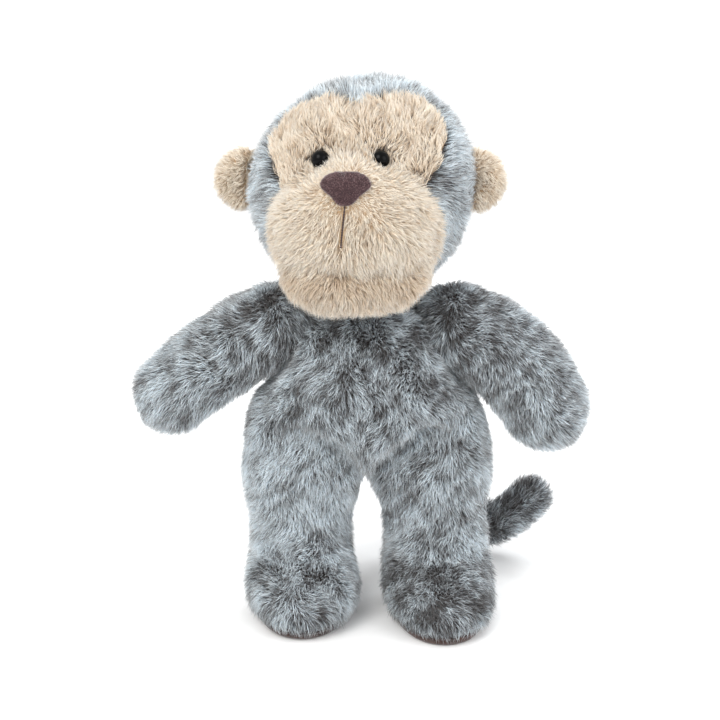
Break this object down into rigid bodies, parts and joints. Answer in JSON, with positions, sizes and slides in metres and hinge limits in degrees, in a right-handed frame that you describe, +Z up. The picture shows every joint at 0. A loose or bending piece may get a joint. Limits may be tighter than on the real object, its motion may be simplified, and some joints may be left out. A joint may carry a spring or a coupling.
{
  "type": "stuffed monkey",
  "caption": "Standing plush monkey with a round head, big beige muzzle, sewn-on arms and legs and a curled tail; head, arms, legs and tail turn on stuffed seams.",
  "frame": {"origin": "on the floor, under the middle of the toy's bounding box", "axes": "+Z up, -Y is where the face looks, +X is the toy's own left side"},
  "size_m": [0.2638, 0.1806, 0.3127],
  "materials": {
    "grey_plush": "matte",
    "beige_plush": "matte",
    "eye_plastic": "gloss",
    "nose_flock": "matte",
    "sole_suede": "matte",
    "dark_thread": "satin",
    "seam_thread": "satin",
    "stuffing": "matte",
    "lining_cloth": "matte",
    "washer_plastic": "satin"
  },
  "bodies": {
    "torso": {"torso_front_left_panel": "grey_plush", "torso_front_right_panel": "grey_plush", "torso_back_left_panel": "grey_plush", "torso_back_right_panel": "grey_plush", "torso_stuffing": "stuffing", "back_closing_stitches": "seam_thread"},
    "neck_turning_lining": {"neck_torso_lining": "lining_cloth"},
    "neck_nodding_lining": {"neck_head_lining": "lining_cloth"},
    "head": {"head_left_panel": "grey_plush", "head_right_panel": "grey_plush", "brow_patch": "beige_plush", "head_stuffing": "stuffing", "muzzle_cover": "beige_plush", "muzzle_stuffing": "stuffing", "chin_cover": "beige_plush", "chin_stuffing": "stuffing", "mouth_seam_thread": "seam_thread", "nose": "nose_flock", "philtrum_stitch": "dark_thread", "left_eye": "eye_plastic", "right_eye": "eye_plastic", "left_eye_washer": "washer_plastic", "right_eye_washer": "washer_plastic", "left_ear_front": "beige_plush", "left_ear_back": "beige_plush", "right_ear_front": "beige_plush", "right_ear_back": "beige_plush"},
    "tail_root_lining": {"tail_lining": "lining_cloth"},
    "tail": {"tail_cover": "grey_plush", "tail_stuffing": "stuffing"},
    "left_shoulder": {"left_shoulder_lining": "lining_cloth"},
    "left_arm": {"left_arm_front_panel": "grey_plush", "left_arm_back_panel": "grey_plush", "left_arm_stuffing": "stuffing"},
    "left_leg": {"left_leg_front_panel": "grey_plush", "left_leg_back_panel": "grey_plush", "left_foot_cover": "grey_plush", "left_foot_sole": "sole_suede", "left_leg_stuffing": "stuffing"},
    "right_shoulder": {"right_shoulder_lining": "lining_cloth"},
    "right_arm": {"right_arm_front_panel": "grey_plush", "right_arm_back_panel": "grey_plush", "right_arm_stuffing": "stuffing"},
    "right_leg": {"right_leg_front_panel": "grey_plush", "right_leg_back_panel": "grey_plush", "right_foot_cover": "grey_plush", "right_foot_sole": "sole_suede", "right_leg_stuffing": "stuffing"}
  },
  "joints": [
    {"name": "neck_turn", "type": "hinge", "parent": "torso", "child": "neck_turning_lining", "pos_m": [0.002, 0.004, 0.202], "axis": [0, 0, 1], "range_deg": [-20, 20], "stiffness_Nm_per_rad": 1},
    {"name": "neck_nod", "type": "hinge", "parent": "neck_turning_lining", "child": "neck_nodding_lining", "pos_m": [0.002, 0.004, 0.202], "axis": [1, 0, 0], "range_deg": [-10, 8], "stiffness_Nm_per_rad": 1.5},
    {"name": "neck_tilt", "type": "hinge", "parent": "neck_nodding_lining", "child": "head", "pos_m": [0.002, 0.004, 0.202], "axis": [0, 1, 0], "range_deg": [-5, 5], "stiffness_Nm_per_rad": 1.5},
    {"name": "left_shoulder_raise", "type": "hinge", "parent": "torso", "child": "left_shoulder", "pos_m": [0.053, -0.002, 0.172], "axis": [0, -1, 0], "range_deg": [-4, 45], "stiffness_Nm_per_rad": 0.3},
    {"name": "left_shoulder_swing", "type": "hinge", "parent": "left_shoulder", "child": "left_arm", "pos_m": [0.053, -0.002, 0.172], "axis": [0, 0, -1], "range_deg": [-20, 25], "stiffness_Nm_per_rad": 0.3},
    {"name": "left_hip_swing", "type": "hinge", "parent": "torso", "child": "left_leg", "pos_m": [0.0415, 0, 0.088], "axis": [-1, 0, 0], "range_deg": [-10, 75], "stiffness_Nm_per_rad": 2.5},
    {"name": "right_shoulder_raise", "type": "hinge", "parent": "torso", "child": "right_shoulder", "pos_m": [-0.049, -0.002, 0.172], "axis": [0, 1, 0], "range_deg": [-8, 45], "stiffness_Nm_per_rad": 0.3},
    {"name": "right_shoulder_swing", "type": "hinge", "parent": "right_shoulder", "child": "right_arm", "pos_m": [-0.049, -0.002, 0.172], "axis": [0, 0, 1], "range_deg": [-20, 25], "stiffness_Nm_per_rad": 0.3},
    {"name": "right_hip_swing", "type": "hinge", "parent": "torso", "child": "right_leg", "pos_m": [-0.0375, 0, 0.088], "axis": [-1, 0, 0], "range_deg": [-10, 75], "stiffness_Nm_per_rad": 2.5},
    {"name": "tail_swing", "type": "hinge", "parent": "torso", "child": "tail_root_lining", "pos_m": [0.002, 0.038, 0.1], "axis": [0, 0, 1], "range_deg": [-8, 40], "stiffness_Nm_per_rad": 0.3},
    {"name": "tail_lift", "type": "hinge", "parent": "tail_root_lining", "child": "tail", "pos_m": [0.002, 0.038, 0.1], "axis": [0, -1, 0], "range_deg": [-2, 35], "stiffness_Nm_per_rad": 0.3}
  ]
}
